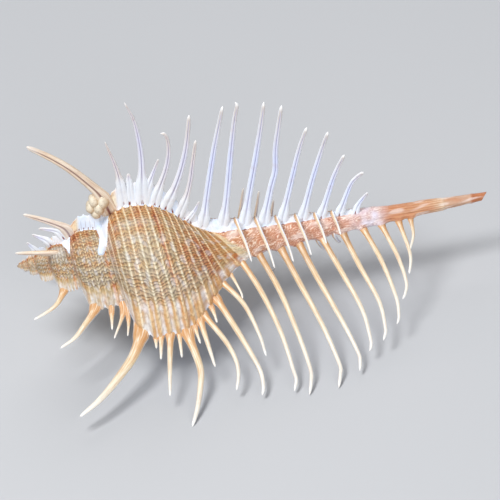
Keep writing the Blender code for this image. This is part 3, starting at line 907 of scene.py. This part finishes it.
def canal_material():
    material, tree, shader = new_material("canal_skin", 0.42)
    where = node(tree, "ShaderNodeTexCoord", {}, {}, 3)
    crest, scales, enamel, pale, warm, slit, along = (field(tree, name) for name in FIELD_NAMES)
    patchy = noise(tree, where, 340.0, 3.0)
    fine = noise(tree, where, 1400.0, 3.0)
    ground = node(tree, "ShaderNodeValToRGB", {"stops": (
        (0.0, sRGB(188, 128, 84)), (0.14, sRGB(200, 146, 108)), (0.30, sRGB(206, 156, 132)),
        (0.50, sRGB(204, 154, 136)), (0.62, sRGB(206, 172, 160)), (0.665, sRGB(192, 132, 90)),
        (0.80, sRGB(204, 156, 118)), (0.855, sRGB(226, 204, 174)), (0.945, sRGB(228, 210, 186)),
        (0.955, sRGB(184, 114, 70)), (1.0, sRGB(198, 136, 92)),
    )}, {0: (along * 100.0 - 52.0) / 78.0})
    striped = along.between(0.99, 1.03) * (1 - along.between(1.17, 1.20))
    # Darker just in front of each growth edge and between the threads, paler on the edges: painted shade
    # under the scales and in the grooves, and a painted highlight on the edges, over the canal's own tones.
    body = mix((1 - scales.between(0.1, 0.6)) * (1 - striped) * 0.6, ground, sRGB(168, 98, 62), tree)
    body = mix(scales.between(0.5, 0.9) * (1 - striped) * 0.85, body, sRGB(246, 226, 208), tree)
    body = mix((1 - crest).between(0.3, 0.9) * striped * 0.5, body, sRGB(170, 92, 46), tree)
    body = mix(warm.between(0.5, 0.85) * 0.45, body, sRGB(192, 122, 82), tree)
    body = mix((1 - warm.between(0.15, 0.45)) * 0.5, body, sRGB(236, 222, 216), tree)
    body = mix(pale * 0.85, body, sRGB(226, 222, 238), tree)
    white = mix(patchy.between(0.35, 0.65), sRGB(214, 228, 248), sRGB(234, 238, 246), tree)
    colour = mix(enamel.between(0.1, 0.9), body, white, tree)
    colour = mix(slit.between(0.2, 0.8), colour, sRGB(130, 52, 34), tree)
    colour = mix(fine.between(0.5, 0.75) * 0.16, colour, sRGB(130, 76, 46), tree)
    tree.links.new(colour.socket, shader.inputs["Base Color"])
    fine_bump(tree, shader, 0.4, fine + patchy * 0.5)
    return material


def spine_material():
    material, tree, shader = new_material("spine_skin", 0.34)
    where = node(tree, "ShaderNodeTexCoord", {}, {}, 3)
    up, groove, front, around, tan, slit, away = (field(tree, name) for name in FIELD_NAMES)
    lengthwise = node(tree, "ShaderNodeCombineXYZ", {}, {"X": around * 2.2, "Y": away * 0.35, "Z": up})
    streak = noise(tree, lengthwise, 3.2, 2.0)
    mottle = noise(tree, where, 420.0, 2.0)
    warm = node(tree, "ShaderNodeValToRGB", {"stops": (
        (0.0, sRGB(208, 162, 114)), (0.08, sRGB(218, 178, 132)), (0.30, sRGB(230, 207, 170)),
        (0.60, sRGB(236, 223, 200)), (0.9, sRGB(236, 231, 222)), (1.0, sRGB(250, 250, 248)),
    )}, {0: up})
    warm = mix(streak.between(0.5, 0.64) * (0.62 - up * 0.5).clip(), warm, sRGB(200, 134, 82), tree)
    warm = mix((1 - streak.between(0.36, 0.48)) * 0.75, warm, sRGB(244, 238, 224), tree)
    cool = node(tree, "ShaderNodeValToRGB", {"stops": (
        (0.0, sRGB(232, 240, 252)), (0.12, sRGB(222, 230, 248)), (0.5, sRGB(212, 220, 246)),
        (0.75, sRGB(214, 214, 224)), (0.95, sRGB(204, 198, 194)), (1.0, sRGB(250, 250, 250)),
    )}, {0: up})
    cool = mix((1 - front.between(0.25, 0.75)) * 0.9, cool, sRGB(240, 246, 255), tree)
    # Lavender down the groove of the white spines: painted shade in the groove.
    cool = mix(groove.between(0.3, 0.9) * (1 - up.between(0.9, 0.98)) * 0.8, cool, sRGB(172, 170, 206), tree)
    browned = mix(streak.between(0.4, 0.6), sRGB(232, 212, 184), sRGB(212, 180, 144), tree)
    # Dark brown down the groove of the tan spines: painted shade in the groove.
    browned = mix(groove.between(0.2, 0.8), browned, sRGB(146, 104, 72), tree)
    browned = mix(up.between(0.75, 1.0) * 0.7, browned, sRGB(228, 222, 216), tree)
    cool = mix(tan, cool, browned, tree)
    whitened = (1 - away.between(-0.15, 0.25)) * (1 - tan.between(0.6, 0.8))
    cool = mix(whitened * 0.8, cool, sRGB(232, 240, 250), tree)
    colour = mix(front.between(-0.30, 0.12), mix(tan * 0.5, warm, browned, tree), cool, tree)
    colour = mix(slit.between(0.2, 0.8), colour, sRGB(130, 50, 34), tree)
    colour = mix(mottle.between(0.5, 0.75) * 0.12, colour, sRGB(170, 120, 84), tree)
    tree.links.new(colour.socket, shader.inputs["Base Color"])
    fine_bump(tree, shader, 0.25, streak + mottle * 0.4)
    return material


# ---------------------------------------------------------------- floor, light and camera
def plain(name, colour, roughness):
    material, tree, shader = new_material(name, roughness)
    shader.inputs["Base Color"].default_value = (*colour, 1.0)
    return material


def build_stage():
    bpy.context.scene.view_settings.view_transform = "Standard"
    bpy.ops.mesh.primitive_plane_add(size=6.0, location=(0.0, 0.0, 0.0))
    floor = bpy.context.object
    floor.name = "floor"
    floor.data.materials.append(plain("floor_paper", (0.50, 0.51, 0.53), 0.9))
    world = bpy.data.worlds.new("room")
    world.use_nodes = True
    world.node_tree.nodes["Background"].inputs[0].default_value = (0.92, 0.95, 1.0, 1.0)
    world.node_tree.nodes["Background"].inputs[1].default_value = 0.22
    bpy.context.scene.world = world
    for name, place, size, power in (
        ("key", (-0.25, -0.20, 0.80), 0.35, 6.3),
        ("fill", (0.25, -0.85, 0.35), 0.6, 4.2),
        ("back", (0.1, 0.8, 0.7), 0.6, 3.2),
    ):
        bpy.ops.object.light_add(type="AREA", location=place)
        light = bpy.context.object
        light.name = name
        light.data.size = size
        light.data.energy = power
        aim = Vector((0.0, 0.0, 0.03)) - Vector(place)
        light.rotation_euler = aim.to_track_quat("-Z", "Y").to_euler()


def build_camera():
    toward = to_world @ Vector(outward(np.array(LOOK_ANGLE)))
    rise = to_world @ Vector(outward(np.array(LOOK_ANGLE + 90.0)))
    ahead = to_world @ Vector((1.0, 0.0, 0.0))
    tilt = math.radians(IMAGE_TILT)
    right = ahead * math.cos(tilt) - rise * math.sin(tilt)
    up = ahead * math.sin(tilt) + rise * math.cos(tilt)
    middle = APEX + ahead * 64.6 - rise * 1.26
    bpy.ops.object.camera_add()
    camera = bpy.context.object
    pose = Matrix((right, up, toward)).transposed().to_4x4()
    pose.translation = (middle + toward * CAMERA_DISTANCE) * MM
    camera.matrix_world = pose
    camera.data.sensor_width = 36.0
    camera.data.lens = 36.0 * CAMERA_DISTANCE / VIEW_WIDTH
    camera.data.clip_start = 0.01
    bpy.context.scene.camera = camera


def main():
    skin = coil_material()
    whorl = join_sheets("shell_last_whorl", build_last_whorl())
    spire = join_sheets("shell_spire", build_spire() + [build_mouth()])
    canal = join_sheets("shell_canal", [build_canal()])
    rows = join_sheets("shell_spines", build_spines())
    whorl.data.materials.append(skin)
    spire.data.materials.append(skin)
    canal.data.materials.append(canal_material())
    rows.data.materials.append(spine_material())
    for piece in (whorl, spire, canal, rows):
        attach(piece, "root")
        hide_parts("murex_shell")
        print(piece.name, "triangles", sum(len(p.vertices) - 2 for p in piece.data.polygons))
    build_stage()
    build_camera()


main()
